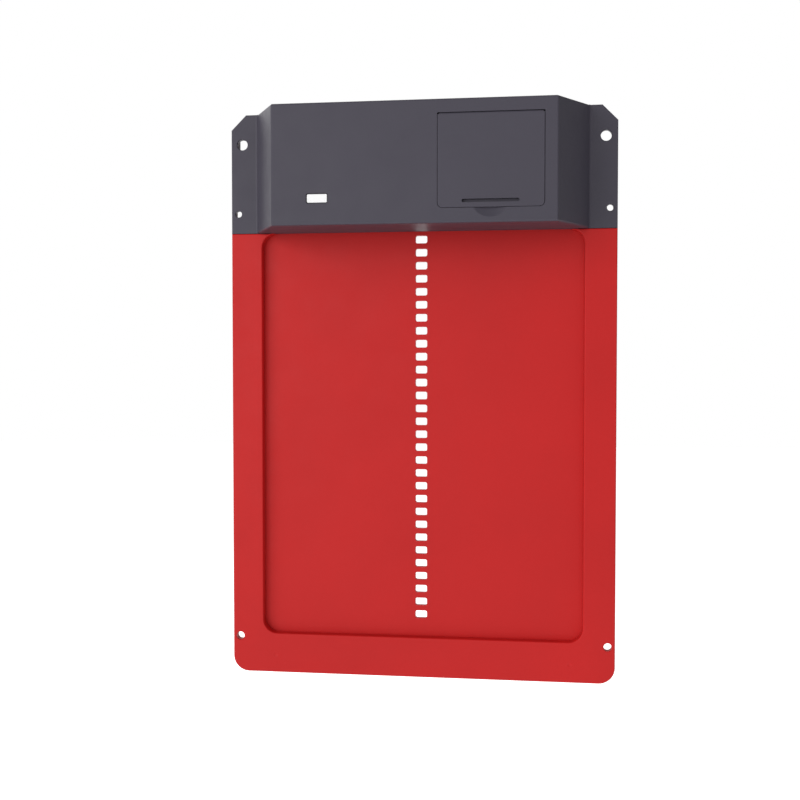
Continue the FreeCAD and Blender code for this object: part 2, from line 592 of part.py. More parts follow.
def cells():
    low = TRAY_Z0 + TRAY_WALL + CONTACT
    high = TRAY_Z1 - TRAY_WALL - CONTACT
    for index in range(4):
        x = cell_x(index)
        up = index % 2 == 0
        start = low + SPRING_ROOM if up else low + 0.3 + CELL_NUB
        can = rod_z(x, CELL_Y, start, start + CELL_BODY, CELL_R)
        can = can.makeFillet(0.6, [e for e in can.Edges if e.Curve.TypeId == "Part::GeomCircle"])
        nub_z = start + CELL_BODY if up else start - CELL_NUB
        nub = rod_z(x, CELL_Y, nub_z, nub_z + CELL_NUB, 2.75)
        ring_z = start + CELL_BODY - 0.3 if up else start
        ring = carve(rod_z(x, CELL_Y, ring_z, ring_z + 0.3, 5.8),
                     rod_z(x, CELL_Y, ring_z, ring_z + 0.3, 3.4))
        save("battery_%d" % (index + 1), join(carve(can, ring), nub))
    plates = []
    tab_y = TRAY_BACK_Y + 3.2
    for index in (0, 3):
        x = cell_x(index)
        leaf = box(x - 5, x + 5, CELL_Y - 5, CELL_Y + 5, high, high + CONTACT)
        plates.append(join(leaf, box(x - 1.2, x + 1.2, CELL_Y + 5, tab_y, high, high + CONTACT)))
    plates.append(box(cell_x(1) - 5, cell_x(2) + 5, CELL_Y - 5, CELL_Y + 5, high, high + CONTACT))
    for pair in (0, 2):
        plates.append(box(cell_x(pair) - 5, cell_x(pair + 1) + 5, CELL_Y - 5, CELL_Y + 5,
                          low - CONTACT, low))
    save("contact_plates", *plates)
    save("contact_springs", *[contact_spring(cell_x(i), low if i % 2 == 0 else high, i % 2 == 0)
                              for i in range(4)])


def contact_spring(x, z, up):
    """Folded leaf spring that stands on a contact plate and presses on the flat end of a cell."""
    half_thick, half_wide, side = 0.15, 3.0, 1 if up else -1
    centre_line = ((-3.5, 0.17), (3.3, 0.17), (-1.4, 3.5), (-3.6, 2.6))
    route = Part.makePolygon([V(x + a, CELL_Y - half_wide, z + side * h) for a, h in centre_line])
    outline = route.makeOffset2D(half_thick, 0, False, False)
    return Part.Face(outline).extrude(V(0, 2 * half_wide, 0))


# ---- light window and circuit board
def window_blank(grow, y0, y1):
    return slab(WINDOW_X0 - grow, WINDOW_X1 + grow, WINDOW_Z0 - grow, WINDOW_Z1 + grow,
                0.8 + grow, y0, y1)


def light_window():
    front_y = HEAD_FRONT_Y + WINDOW_RECESS
    lens = window_blank(0, front_y, INNER_Y)
    lens = lens.makeFillet(0.3, edges_in_plane(lens, front_y))
    lip = slab(WINDOW_X0 - 1.6, WINDOW_X1 + 1.6, WINDOW_Z0 - 1.6, WINDOW_Z1 + 1.6, 1.0,
               INNER_Y, INNER_Y + 1.0)
    save("light_window", join(lens, lip))
    x, z = (WINDOW_X0 + WINDOW_X1) / 2, (WINDOW_Z0 + WINDOW_Z1) / 2
    cell = rod_y(x, z, BOARD_Y0 - 3.6, BOARD_Y0 - 1.5, 2.5)
    leads = [rod_y(x + side, z, BOARD_Y0 - 1.5, BOARD_Y0, 0.3) for side in (-1.2, 1.2)]
    save("light_sensor", join(cell, *leads))


def gull_chip(x, z, length, width, height, legs):
    """Surface-mount chip on the back of the board, its legs along the top and bottom edges."""
    y = BOARD_Y1
    body = box(x - length / 2, x + length / 2, y + 0.15, y + height, z - width / 2, z + width / 2)
    pieces = [body]
    for i in range(legs):
        leg_x = x + (i - (legs - 1) / 2) * 1.27
        for side in (-1, 1):
            near, far = sorted((z + side * (width / 2 - 0.1), z + side * (width / 2 + 0.7)))
            toe_near, toe_far = sorted((z + side * (width / 2 + 0.5), z + side * (width / 2 + 1.4)))
            pieces.append(box(leg_x - 0.2, leg_x + 0.2, y + height * 0.5, y + height * 0.5 + 0.25,
                              near, far))
            pieces.append(box(leg_x - 0.2, leg_x + 0.2, y, y + height * 0.5 + 0.25,
                              toe_near, toe_near + 0.25 if side > 0 else toe_far))
    return join(*pieces)


def control_board():
    cuts = [rod_y(x, z, BOARD_Y0 - 1, BOARD_Y1 + 1, 1.0) for x, z in BOARD_HOLES]
    save("control_board", carve(slab(BOARD_X0, BOARD_X1, BOARD_Z0, BOARD_Z1, 1.5,
                                     BOARD_Y0, BOARD_Y1), *cuts))
    save("board_screws", *[pan_screw(x, z, BOARD_Y1, 5.5, 0.8, 1.7, 1.1) for x, z in BOARD_HOLES])
    save("controller_chip", gull_chip(-58.0, 322.0, 12.8, 7.5, 2.3, 10))
    save("driver_chip", gull_chip(-45.0, 300.0, 5.0, 4.0, 1.6, 4))
    can = rod_y(-68.0, 300.0, BOARD_Y1, BOARD_Y1 + 11.0, 4.0)
    far = [e for e in can.Edges if e.BoundBox.YMin > BOARD_Y1 + 10]
    save("capacitor", can.makeFillet(0.6, far[:1]))
    small = []
    for row, z in enumerate((310.0, 331.0, 336.0)):
        for i in range(4):
            x = -70.0 + 4.5 * i + row
            small.append(box(x, x + 2.0, BOARD_Y1, BOARD_Y1 + 0.6, z, z + 1.2))
    save("smd_parts", *small)
    shells = []
    for z in (309.0, 330.0):
        shell = box(-45.5, -36.5, BOARD_Y1, BOARD_Y1 + 6.2, z, z + 5.6)
        pocket = box(-44.6, -37.4, BOARD_Y1 + 1.5, BOARD_Y1 + 7, z + 0.9, z + 4.7)
        plug = box(-44.5, -37.5, BOARD_Y1 + 1.5, BOARD_Y1 + 6.2, z + 1.0, z + 4.6)
        shells += [carve(shell, pocket), plug]
    save("board_connectors", *shells)


# ---- wires held inside the head
def tube(points, r, bend):
    """Round wire along straight runs joined by tangent arcs."""
    corners = [V(*p) for p in points]
    pieces = []
    start = corners[0]
    for before, corner, after in zip(corners, corners[1:], corners[2:]):
        into = (corner - before).normalize()
        out = (after - corner).normalize()
        turn = into.getAngle(out)
        trim = bend * math.tan(turn / 2)
        first, second = corner - into * trim, corner + out * trim
        pieces.append(Part.makeCylinder(r, (first - start).Length, start, into))
        inward = (out - into).normalize()
        hub = corner + inward * (bend / math.cos(turn / 2))
        disc = Part.Face(Part.Wire(Part.Circle(first, into, r).toShape()))
        pieces.append(disc.revolve(hub, into.cross(out), math.degrees(turn)))
        start = second
    last = corners[-1] - start
    pieces.append(Part.makeCylinder(r, last.Length, start, last))
    return join(*pieces)


def wires():
    r, bend = 0.7, 3.0
    plug_y = BOARD_Y1 + 6.2
    tab_y = TRAY_BACK_Y + 3.2
    z = TRAY_Z1 - TRAY_WALL - CONTACT / 2
    runs = []
    for index, x_end, y in ((0, -43.0, -26.0), (3, -39.0, -21.5)):
        runs.append(tube([(cell_x(index), tab_y, z), (cell_x(index), y, z), (x_end, y, z),
                          (x_end, y, 332.8), (x_end, plug_y, 332.8)], r, bend))
    save("battery_wires", *runs)
    runs = []
    for x_end, y, x_turn in ((-43.0, MOTOR[0] - 4.7, -66.5), (-39.0, MOTOR[0] + 4.7, -70.5)):
        runs.append(tube([(-61.4, y, MOTOR[1]), (x_turn, y, MOTOR[1]), (x_turn, y, 311.8),
                          (x_end, y, 311.8), (x_end, plug_y, 311.8)], r, bend))
    save("motor_wires", *runs)


# ---- gears
def involute(angle):
    return math.tan(angle) - angle


def gear(teeth, centre, phase, x0, x1):
    """Spur gear with involute teeth; phase is the direction of one tooth."""
    pitch_r = MODULE * teeth / 2
    base_r = pitch_r * math.cos(PRESSURE_ANGLE)
    root_r, tip_r = pitch_r - DEDENDUM, pitch_r + ADDENDUM
    low = max(base_r, root_r)
    radii = [root_r] if root_r < base_r else []
    radii += [low + (tip_r - low) * share for share in (0.0, 0.35, 0.7, 1.0)]
    half_at_pitch = (math.pi * MODULE / 2 - BACKLASH) / (2 * pitch_r)
    flank = []
    for radius in radii:
        at = math.acos(min(1.0, base_r / radius))
        flank.append((radius, half_at_pitch + involute(PRESSURE_ANGLE) - involute(at)))
    points = []
    for tooth in range(teeth):
        middle = phase + tooth * 2 * math.pi / teeth
        for radius, half in flank:
            points.append((radius, middle - half))
        for radius, half in reversed(flank):
            points.append((radius, middle + half))
    return prism_x([(centre[0] + radius * math.cos(a), centre[1] + radius * math.sin(a))
                    for radius, a in points], x0, x1)


def direction(start, end):
    return math.atan2(end[1] - start[1], end[0] - start[0])


def mesh_phase(teeth_a, phase_a, teeth_b, towards):
    """Phase of gear b that meshes with gear a, where towards is the direction from a to b."""
    return towards + math.pi - (phase_a - towards) * teeth_a / teeth_b - math.pi / teeth_b


def gear_centres():
    """Centres of the two idle gears, from the motor axis and the output shaft axis."""
    first = (MOTOR[0] + WHEEL_TO_PINION * math.cos(GEAR_1_DIRECTION),
             MOTOR[1] + WHEEL_TO_PINION * math.sin(GEAR_1_DIRECTION))
    apart = math.hypot(SHAFT[0] - first[0], SHAFT[1] - first[1])
    along = (WHEEL_TO_PINION ** 2 - OUTPUT_TO_PINION ** 2 + apart ** 2) / (2 * apart)
    aside = math.sqrt(WHEEL_TO_PINION ** 2 - along ** 2)
    heading = direction(first, SHAFT)
    second = (first[0] + along * math.cos(heading) - aside * math.sin(heading),
              first[1] + along * math.sin(heading) + aside * math.cos(heading))
    return first, second


def gear_train():
    first, second = gear_centres()
    output = gear(OUTPUT_TEETH, SHAFT, 0.0, *PLANE_C)
    save("output_gear", carve(output, rod_x(-20, -10, SHAFT, SHAFT_R + SLIP)))

    pinion_2 = mesh_phase(OUTPUT_TEETH, 0.0, PINION_TEETH, direction(SHAFT, second))
    body = join(gear(WHEEL_TEETH, second, 0.0, *PLANE_B),
                gear(PINION_TEETH, second, pinion_2, PLANE_B[1], PLANE_C[1] + 0.2))
    save("gear_2", carve(body, rod_x(-30, -10, second, AXLE_R + RUN), *web_holes(second, PLANE_B)))

    pinion_1 = mesh_phase(WHEEL_TEETH, 0.0, PINION_TEETH, direction(second, first))
    body = join(gear(WHEEL_TEETH, first, 0.0, *PLANE_A),
                gear(PINION_TEETH, first, pinion_1, PLANE_A[1], PLANE_B[1] + 0.2))
    save("gear_1", carve(body, rod_x(-30, -10, first, AXLE_R + RUN), *web_holes(first, PLANE_A)))

    pinion_0 = mesh_phase(WHEEL_TEETH, 0.0, PINION_TEETH, direction(first, MOTOR))
    save("motor_pinion", carve(gear(PINION_TEETH, MOTOR, pinion_0, *PLANE_A),
                               rod_x(-30, -20, MOTOR, AXLE_R + SLIP)))
    save("motor_shaft", rod_x(MOTOR_X0 - 1.5, PLANE_A[1] + 0.4, MOTOR, AXLE_R))
    for name, centre in (("axle_1", first), ("axle_2", second)):
        save(name, rod_x(CASE_X0 + 0.1, LID_X1 - 0.1, centre, AXLE_R))


def web_holes(centre, plane):
    holes = []
    for i in range(6):
        a = i * math.pi / 3
        at = (centre[0] + 6.6 * math.cos(a), centre[1] + 6.6 * math.sin(a))
        holes.append(rod_x(plane[0] - 0.1, plane[1] + 0.1, at, 1.9))
    return holes


def case_block(inset, x0, x1):
    block = box(x0, x1, CASE_Y0 + inset, CASE_Y1 - inset, CASE_Z0 + inset, CASE_Z1 - inset)
    return block.makeFillet(5.0 - inset, edges_along(block, V(1, 0, 0)))


def gearbox():
    first, second = gear_centres()
    floor_x = CASE_X0 + CASE_SIDE
    body = carve(case_block(0, CASE_X0, CASE_X1), case_block(CASE_WALL, floor_x, CASE_X1))
    bosses = [rod_x(floor_x, PLANE_A[0] - 0.2, first, 2.2),
              rod_x(floor_x, PLANE_B[0] - 0.2, second, 1.9)]
    bosses += [rod_x(floor_x, CASE_X1, at, 2.4) for at in CASE_SCREWS]
    feet = [box(-26, -14, -15, BACK_Y, CASE_Z1 - 1, 335.0),
            box(-26, -14, -15, BACK_Y, 282.6, CASE_Z0 + 1)]
    cavity = case_block(CASE_WALL, floor_x, CASE_X1)
    feet = [carve(foot, cavity) for foot in feet]
    cuts = [rod_x(CASE_X0 - 1, floor_x + 1, MOTOR, 3.4)]
    cuts += [rod_x(CASE_X0 - 1, -18, centre, AXLE_R + SLIP) for centre in (first, second)]
    cuts += [rod_x(CASE_X1 - 8, CASE_X1 + 1, at, 0.8 + SLIP) for at in CASE_SCREWS]
    cuts += [rod_y(x, z, BACK_Y - 5.4, BACK_Y + 1, 0.9 + SLIP) for x, z in DRIVE_SCREWS]
    motor_set, lid_set = [], []
    for angle in MOTOR_SCREW_ANGLES:
        at = (MOTOR[0] + MOTOR_SCREW_RING * math.cos(angle),
              MOTOR[1] + MOTOR_SCREW_RING * math.sin(angle))
        cuts.append(Part.makeCone(1.2, 2.1, 0.9, V(floor_x - 0.9, at[0], at[1]), V(1, 0, 0)))
        cuts.append(rod_x(CASE_X0 - 1, floor_x, at, 1.2))
        head = Part.makeCone(1.0, 1.9, 0.9, V(floor_x - 0.95, at[0], at[1]), V(1, 0, 0))
        motor_set.append(join(head, rod_x(MOTOR_X1 - 3, floor_x - 0.95, at, 1.0)))
    save("gearbox_case", carve(join(body, *bosses, *feet), *cuts))
    save("motor_screws", *motor_set)

    lid = join(case_block(0, CASE_X1, LID_X1), rod_x(PLANE_B[1] + 0.4, CASE_X1, first, 2.2),
               rod_x(PLANE_C[1] + 0.4, CASE_X1, second, 2.2))
    cuts = [rod_x(-19, -8, centre, AXLE_R + SLIP) for centre in (first, second)]
    cuts.append(rod_x(CASE_X1 - 1, LID_X1 + 1, SHAFT, 3.5 + SLIP))
    cuts += [rod_x(CASE_X1 - 1, LID_X1 + 1, at, 1.0) for at in CASE_SCREWS]
    save("gearbox_lid", carve(lid, *cuts))
    for at in CASE_SCREWS:
        head = rod_x(LID_X1, LID_X1 + 1.1, at, 1.7)
        head = carve(head, box(LID_X1 + 0.6, LID_X1 + 2, at[0] - 1.3, at[0] + 1.3,
                               at[1] - 0.25, at[1] + 0.25))
        lid_set.append(join(head, rod_x(CASE_X1 - 6, LID_X1, at, 0.8)))
    save("gearbox_screws", *lid_set)


def motor():
    bore = rod_x(MOTOR_X0 - 2, -26, MOTOR, AXLE_R + RUN)
    can = rod_x(MOTOR_X0, MOTOR_X1, MOTOR, MOTOR_R)
    ends = [e for e in can.Edges if e.Curve.TypeId == "Part::GeomCircle"]
    can = can.makeFillet(1.0, ends)
    boss = rod_x(MOTOR_X1, MOTOR_X1 + 1.4, MOTOR, 3.2)
    cuts = [bore]
    for angle in MOTOR_SCREW_ANGLES:
        at = (MOTOR[0] + MOTOR_SCREW_RING * math.cos(angle),
              MOTOR[1] + MOTOR_SCREW_RING * math.sin(angle))
        cuts.append(rod_x(MOTOR_X1 - 3.2, MOTOR_X1 + 1, at, 1.0 + SLIP))
    for side in (-1, 1):
        cuts.append(box(MOTOR_X0 + 4, MOTOR_X0 + 12, MOTOR[0] - 1.5, MOTOR[0] + 1.5,
                        MOTOR[1] + side * (MOTOR_R - 0.2) - 0.6,
                        MOTOR[1] + side * (MOTOR_R - 0.2) + 0.6))
    save("motor_can", carve(join(can, boss), *cuts))
    cap = join(rod_x(MOTOR_X0 - 3.5, MOTOR_X0, MOTOR, 11.2), rod_x(MOTOR_X0 - 5, MOTOR_X0, MOTOR, 3.2))
    save("motor_end_cap", carve(cap, bore))
    tabs = [box(-61.4, MOTOR_X0 - 3.5, MOTOR[0] + side * 4.7 - 0.25, MOTOR[0] + side * 4.7 + 0.25,
                MOTOR[1] - 1.4, MOTOR[1] + 1.4) for side in (-1, 1)]
    save("motor_terminals", *tabs)


def output():
    """Output shaft with its bushes, the sprocket that drives the door, and their fixings."""
    y, z = SHAFT
    hub_x0 = -8.6
    shaft = rod_x(PLANE_C[0] - 0.4, 11.0, SHAFT, SHAFT_R)
    groove = carve(rod_x(9.5, 10.2, SHAFT, SHAFT_R + 1), rod_x(9.5, 10.2, SHAFT, 2.1))
    flat = box(hub_x0, -SPROCKET_HALF, y - 3, y + 3, z + 2.2, z + 3)
    save("output_shaft", carve(shaft, groove, flat))
    clip = carve(rod_x(9.55, 10.15, SHAFT, 4.2), rod_x(9, 11, SHAFT, 2.1 + SLIP),
                 box(9, 11, y - 1.6, y + 1.6, z - 6, z - 0.5))
    save("shaft_clip", clip)
    bushes = []
    for x0, x1, flange_x in ((-12.0, -9.2, -12.9), (6.0, 9.2, 5.2)):
        ring = join(rod_x(x0, x1, SHAFT, 3.5), rod_x(flange_x, x0, SHAFT, 4.5))
        bushes.append(carve(ring, rod_x(flange_x - 1, x1 + 1, SHAFT, SHAFT_R + RUN)))
    save("shaft_bushes", *bushes)

    disc = rod_x(-SPROCKET_HALF, SPROCKET_HALF, SHAFT, SPROCKET_ROOT_R)
    profile = ((SPROCKET_ROOT_R - 1, -1.95), (15.9, -1.3), (SPROCKET_TIP_R, -0.8),
               (SPROCKET_TIP_R, 0.8), (15.9, 1.3), (SPROCKET_ROOT_R - 1, 1.95))
    tooth = prism_x([(y + r, z + h) for r, h in profile], -SPROCKET_HALF, SPROCKET_HALF)
    teeth = []
    for i in range(SPROCKET_TEETH):
        copy = tooth.copy()
        copy.rotate(V(0, y, z), V(1, 0, 0), i * 360 / SPROCKET_TEETH)
        teeth.append(copy)
    body = join(disc, rod_x(hub_x0, -SPROCKET_HALF, SHAFT, 6.5),
                rod_x(SPROCKET_HALF, 4.9, SHAFT, 5.0), *teeth)
    holes = [rod_x(hub_x0 - 1, 6, SHAFT, SHAFT_R + SLIP)]
    screw_x = (hub_x0 - SPROCKET_HALF) / 2
    holes.append(rod_z(screw_x, y, z, z + 8, 1.5 + SLIP))
    for i in range(6):
        a = (i + 0.5) * math.pi / 3
        holes.append(rod_x(-4, 4, (y + 9.8 * math.cos(a), z + 9.8 * math.sin(a)), 2.0))
    save("drive_sprocket", carve(body, *holes))
    screw = rod_z(screw_x, y, z + 2.25, z + 6.2, 1.5)
    socket = Part.Face(Part.makePolygon([V(screw_x + 0.9 * math.cos(i * math.pi / 3),
                                           y + 0.9 * math.sin(i * math.pi / 3), z + 4.6)
                                         for i in range(7)])).extrude(V(0, 0, 3))
    save("sprocket_screw", carve(screw, socket))


os.makedirs("parts", exist_ok=True)
front_frame()
save("left_rail", rail(-1))
save("right_rail", rail(1))
rear_bridge()
frame_fasteners()
door_panel()
head_shell()
head_back_plate()
battery_cover()
battery_tray()
cells()
light_window()
control_board()
wires()
gear_train()
gearbox()
motor()
output()
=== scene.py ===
import json
import math

import bpy
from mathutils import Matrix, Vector


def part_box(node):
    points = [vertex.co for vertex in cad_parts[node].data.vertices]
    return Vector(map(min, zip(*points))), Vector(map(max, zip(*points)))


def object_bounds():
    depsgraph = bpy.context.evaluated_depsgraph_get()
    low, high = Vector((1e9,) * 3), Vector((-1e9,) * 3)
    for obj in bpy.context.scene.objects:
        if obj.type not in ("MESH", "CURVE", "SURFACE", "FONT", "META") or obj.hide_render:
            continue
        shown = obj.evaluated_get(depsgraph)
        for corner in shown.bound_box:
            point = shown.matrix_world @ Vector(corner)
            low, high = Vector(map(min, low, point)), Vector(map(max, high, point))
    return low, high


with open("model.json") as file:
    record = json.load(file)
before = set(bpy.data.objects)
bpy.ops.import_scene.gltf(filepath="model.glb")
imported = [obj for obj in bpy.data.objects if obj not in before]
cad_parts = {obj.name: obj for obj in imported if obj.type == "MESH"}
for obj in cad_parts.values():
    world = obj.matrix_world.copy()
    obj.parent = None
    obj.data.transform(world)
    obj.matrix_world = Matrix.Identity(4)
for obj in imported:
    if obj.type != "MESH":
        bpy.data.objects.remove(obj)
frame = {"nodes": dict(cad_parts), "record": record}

CAD_LOW, CAD_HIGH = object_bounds()
MM = 0.001
WHITE = (1.0, 1.0, 1.0, 1.0)

# ---- camera: place, heading and lens
CAMERA_AT = (0.07476, -0.67987, 0.19509)
CAMERA_TURN = math.radians(7.459)
CAMERA_DOWN = math.radians(1.81)
LENS_MM = 48.67
SENSOR_MM = 36.0

# ---- light
DOME_LEVEL = 0.46
DOME_SWING = 0.36
DOME_TOWARDS = (-0.28, -0.92, -0.80)
BACKDROP = 1.0
FLOOR_DROP = 0.30
FLOOR_HALF = 6.0
FLOOR_GLOW = 0.85
# name, place, side length in metres and power in watts; each lamp is aimed at the object's middle
LAMPS = (
    ("key", (-2.3, -2.1, 0.80), 1.9, 27.0),
    ("front", (-1.0, -2.7, 0.55), 1.4, 12.5),
    ("back", (0.0, 1.5, 0.20), 1.2, 4.5),
    ("back_left", (-1.3, 1.5, 0.80), 1.4, 8.0),
    ("top", (0.0, 0.25, 1.75), 1.2, 4.5),
)

# ---- moulded plastic: sizes of its clouding, specks, edge wear, sheen and surface wave
CLOUD_SIZE = 60 * MM
SPECK_SIZE = 1.6 * MM
EDGE_WIDTH = 0.7 * MM
WEAR_SIZE = 3 * MM
SHEEN_SIZE = 14 * MM
WAVE_SIZE = 45 * MM
WAVE_HEIGHT = 0.12 * MM
# ---- light window: strength of the painted glow on its front face, and how far behind the head's front that glow fades out
WINDOW_PAINTED_GLOW = 0.10
WINDOW_GLOW_FADE = (0.6 * MM, 0.9 * MM)
WINDOW_SCATTER = 2 * MM
# ---- circuit board: pattern scale per metre and height of the copper
TRACK_SCALE = 260.0
TRACK_HEIGHT = 0.035 * MM
# ---- battery cells: where the band starts, and where the bare metal ends start, from minus to plus
BAND_START = 0.735
BARE_MINUS = 0.013
BARE_PLUS = 0.970
SLEEVE_EDGE = 0.005


# ---- node helpers
class Look:
    """A Principled material and short calls that add nodes to it."""

    def __init__(self, name, colour, roughness, metallic=0.0):
        self.material = bpy.data.materials.new(name)
        self.material.use_nodes = True
        self.tree = self.material.node_tree
        self.shader = self.tree.nodes["Principled BSDF"]
        self.set("Base Color", (*colour, 1.0))
        self.set("Roughness", roughness)
        self.set("Metallic", metallic)
        self.material.diffuse_color = (*colour, 1.0)
        self.place = self.add("ShaderNodeTexCoord").outputs["Object"]

    def set(self, socket, value):
        self.shader.inputs[socket].default_value = value

    def add(self, kind, **settings):
        node = self.tree.nodes.new(kind)
        for key, value in settings.items():
            setattr(node, key, value)
        return node

    def link(self, source, target):
        self.tree.links.new(source, target)

    def feed(self, source, socket):
        self.link(source, self.shader.inputs[socket])

    def noise(self, size, detail=2.0, rough=0.5, stretch=None):
        """Noise whose features are about size metres across."""
        node = self.add("ShaderNodeTexNoise")
        node.inputs["Scale"].default_value = 1.0 / size
        node.inputs["Detail"].default_value = detail
        node.inputs["Roughness"].default_value = rough
        self.link(self.stretched(stretch) if stretch else self.place, node.inputs["Vector"])
        return node.outputs["Fac"]

    def stretched(self, factors):
        node = self.add("ShaderNodeMapping")
        node.inputs["Scale"].default_value = factors
        self.link(self.place, node.inputs["Vector"])
        return node.outputs["Vector"]

    def span(self, source, low, high, to_low, to_high):
        node = self.add("ShaderNodeMapRange")
        for socket, value in zip(("From Min", "From Max", "To Min", "To Max"),
                                 (low, high, to_low, to_high)):
            node.inputs[socket].default_value = value
        self.link(source, node.inputs["Value"])
        return node.outputs["Result"]

    def math(self, operation, first, second):
        node = self.add("ShaderNodeMath", operation=operation)
        for socket, value in zip(node.inputs, (first, second)):
            if isinstance(value, (int, float)):
                socket.default_value = value
            else:
                self.link(value, socket)
        return node.outputs["Value"]

    def blend(self, factor, first, second):
        """Colour from first to second as factor goes from 0 to 1."""
        node = self.add("ShaderNodeMix", data_type="RGBA")
        self.link(factor, node.inputs["Factor"])
        for socket, value in zip((node.inputs[6], node.inputs[7]), (first, second)):
            if isinstance(value, tuple):
                socket.default_value = (*value, 1.0)
            else:
                self.link(value, socket)
        return node.outputs[2]

    def bump(self, height, depth, strength=1.0, under=None):
        """Bump of the given depth in metres; under is a bump that lies below it."""
        node = self.add("ShaderNodeBump")
        node.inputs["Distance"].default_value = depth
        node.inputs["Strength"].default_value = strength
        self.link(height, node.inputs["Height"])
        if under is not None:
            self.link(under, node.inputs["Normal"])
        return node.outputs["Normal"]

    def edge(self, radius):
        """Near 1 along outer and inner edges and 0 on flat faces."""
        round_node = self.add("ShaderNodeBevel", samples=4)
        round_node.inputs["Radius"].default_value = radius
        facing = self.add("ShaderNodeNewGeometry").outputs["Normal"]
        dot = self.add("ShaderNodeVectorMath", operation="DOT_PRODUCT")
        self.link(round_node.outputs["Normal"], dot.inputs[0])
        self.link(facing, dot.inputs[1])
        return self.span(dot.outputs["Value"], 0.995, 0.80, 0.0, 1.0)


def shade(colour, factor):
    return tuple(min(1.0, c * factor) for c in colour)


# ---- materials
def moulded(name, colour, roughness, grain=0.45 * MM, depth=0.02 * MM, tone=0.05, wear=0.10,
            gloss=0.5):
    """Injection-moulded plastic: spark-eroded grain, faint clouding and lightly polished edges."""
    look = Look(name, colour, roughness)
    look.set("Specular IOR Level", gloss)
    cloud = look.noise(CLOUD_SIZE, 3.0)
    speck = look.noise(SPECK_SIZE, 4.0, 0.6)
    base = look.blend(look.span(cloud, 0.3, 0.7, 0.0, 1.0), shade(colour, 1 - tone),
                      shade(colour, 1 + tone))
    base = look.blend(look.span(speck, 0.35, 0.75, 0.0, 0.10), base, shade(colour, 0.7))
    patches = look.span(look.noise(WEAR_SIZE, 3.0), 0.4, 0.7, 0.2, 1.0)
    worn = look.math("MULTIPLY", look.edge(EDGE_WIDTH), patches)
    base = look.blend(look.math("MULTIPLY", worn, wear), base, shade(colour, 1.8))
    look.feed(base, "Base Color")
    sheen = look.noise(SHEEN_SIZE, 3.0)
    rough = look.span(sheen, 0.3, 0.7, roughness - 0.04, roughness + 0.05)
    rough = look.math("SUBTRACT", rough, look.math("MULTIPLY", worn, 0.08))
    look.feed(rough, "Roughness")
    wave = look.bump(look.noise(WAVE_SIZE, 1.0), WAVE_HEIGHT, 0.35)
    grit = look.bump(look.noise(grain, 3.0, 0.6), depth, 0.6, wave)
    look.feed(grit, "Normal")
    return look


def metal(name, colour, roughness, along="x", streak=0.25 * MM):
    """Drawn or turned metal with fine streaks along one axis."""
    look = Look(name, colour, roughness, 1.0)
    factors = {"x": (0.04, 1.0, 1.0), "y": (1.0, 0.04, 1.0), "z": (1.0, 1.0, 0.04)}[along]
    lines = look.noise(streak, 4.0, 0.6, factors)
    stain = look.noise(3.5 * MM, 4.0, 0.6)
    base = look.blend(look.span(stain, 0.3, 0.75, 0.0, 1.0),
                      shade(colour, 1.08), shade(colour, 0.72))
    look.feed(base, "Base Color")
    look.feed(look.span(lines, 0.3, 0.7, roughness - 0.08, roughness + 0.12), "Roughness")
    look.feed(look.bump(lines, 0.01 * MM, 0.5), "Normal")
    return look


def diffuser_with_painted_glow():
    """Milky light window: clouded white resin; its front face has a painted glow, an emission that
    stands in for light coming through.
    """
    look = moulded("diffuser_white_painted_glow", (0.96, 0.96, 0.97), 0.30, 0.9 * MM, 0.01 * MM, 0.01, 0.0)
    look.set("Subsurface Weight", 0.25)
    look.set("Subsurface Radius", (WINDOW_SCATTER,) * 3)
    look.set("Emission Color", WHITE)
    split = look.add("ShaderNodeSeparateXYZ")
    look.link(look.place, split.inputs[0])
    near, far = (CAD_LOW[1] + distance for distance in WINDOW_GLOW_FADE)
    # painted glow: emission on the window's front face, fading out behind it, stands in for light
    # coming through the window
    look.feed(look.span(split.outputs["Y"], near, far, WINDOW_PAINTED_GLOW, 0.0), "Emission Strength")
    return look


def rubber():
    look = moulded("seal_rubber", (0.025, 0.025, 0.027), 0.72, 0.3 * MM, 0.03 * MM, 0.10, 0.3)
    look.set("Specular IOR Level", 0.3)
    return look


def circuit():
    """Green solder mask over a pattern of copper tracks."""
    look = Look("solder_mask", (0.015, 0.14, 0.05), 0.28)
    brick = look.add("ShaderNodeTexBrick", offset=0.37, squash=0.6, squash_frequency=3)
    brick.inputs["Scale"].default_value = TRACK_SCALE
    brick.inputs["Mortar Size"].default_value = 0.10
    swap = look.add("ShaderNodeSeparateXYZ")
    look.link(look.place, swap.inputs[0])
    flat = look.add("ShaderNodeCombineXYZ")
    look.link(swap.outputs["X"], flat.inputs["X"])
    look.link(swap.outputs["Z"], flat.inputs["Y"])
    look.link(flat.outputs[0], brick.inputs["Vector"])
    track = brick.outputs["Fac"]
    base = look.blend(track, (0.012, 0.11, 0.04), (0.03, 0.24, 0.09))
    look.feed(base, "Base Color")
    look.feed(look.bump(track, TRACK_HEIGHT, 0.8), "Normal")
    look.set("Coat Weight", 0.4)
    look.set("Coat Roughness", 0.15)
    return look


